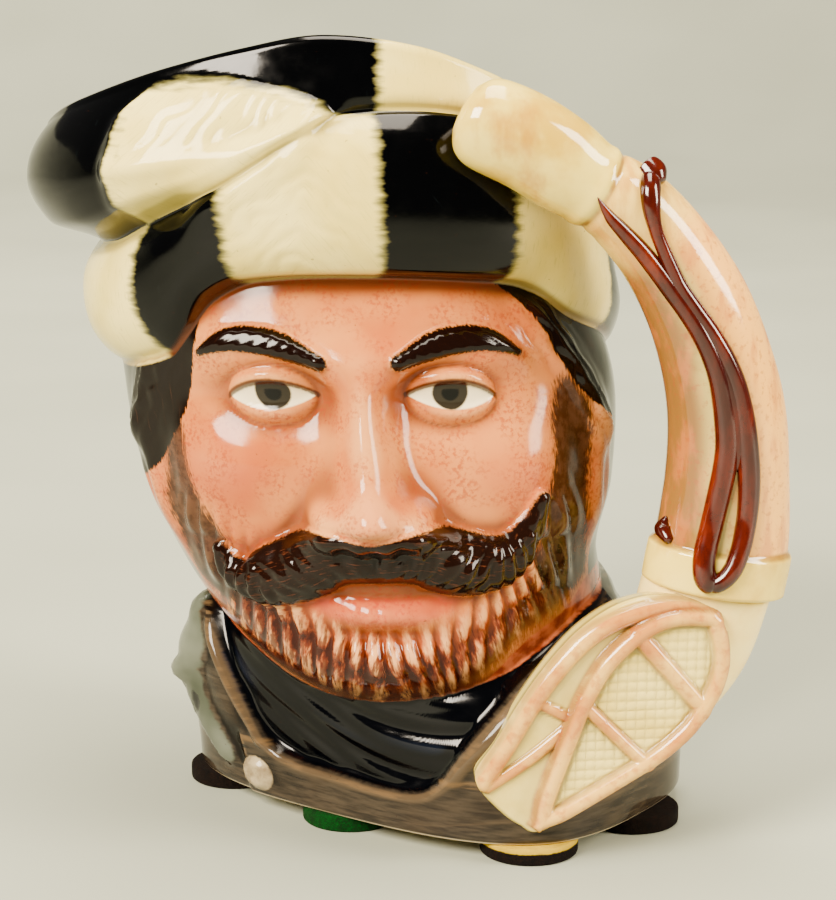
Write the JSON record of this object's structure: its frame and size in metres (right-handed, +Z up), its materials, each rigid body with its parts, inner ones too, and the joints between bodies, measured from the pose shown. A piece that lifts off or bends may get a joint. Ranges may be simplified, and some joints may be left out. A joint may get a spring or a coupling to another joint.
{
  "type": "character jug",
  "caption": "Hollow glazed pottery jug shaped as a head in a patched fur hat, open at the top, with a powder horn and snowshoe handle; an ornament that can also hold flowers or drink.",
  "frame": {"origin": "on the surface the jug stands on, under the middle of its bounding box", "axes": "+Z up, the face looks along -Y and the handle is on the +X side"},
  "size_m": [0.1772, 0.1352, 0.1885],
  "materials": {
    "glaze": "hand-painted pottery under a clear gloss glaze",
    "felt_brown": "dark brown felt",
    "felt_green": "green felt"
  },
  "bodies": {
    "root": {"jug": "glaze", "pad_front_left": "felt_green", "pad_front_right": "felt_brown", "pad_right": "felt_brown", "pad_left": "felt_brown", "pad_back": "felt_brown"}
  },
  "joints": []
}
